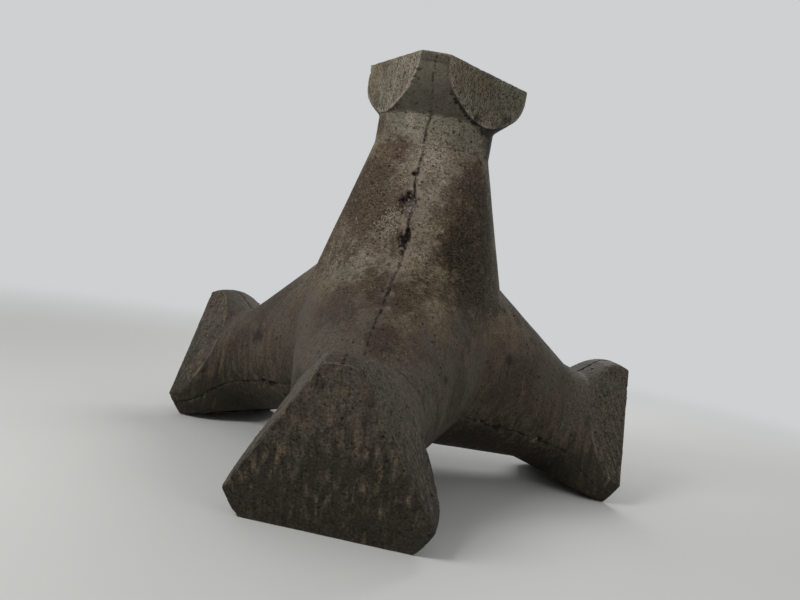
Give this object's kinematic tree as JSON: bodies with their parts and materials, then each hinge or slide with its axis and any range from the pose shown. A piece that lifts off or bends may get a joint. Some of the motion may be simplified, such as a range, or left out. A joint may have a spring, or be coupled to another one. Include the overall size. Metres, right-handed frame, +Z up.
{
  "type": "concrete tetrapod breakwater block",
  "caption": "Cast concrete tetrapod armour block: tapering legs on tetrahedral axes, each ending in a flared, blunt triangular head.",
  "frame": {"origin": "the point where the axes of the four legs meet, which is also the centroid", "axes": "+Z up along the upright leg; -Y along the front lower leg seen from above; +X to the right of someone facing +Y"},
  "size_m": [4.0026, 3.7905, 3.2778],
  "materials": {
    "concrete": "weathered cast concrete, pitted, with damp stains"
  },
  "bodies": {
    "root": {"tetrapod": "concrete"}
  },
  "joints": []
}
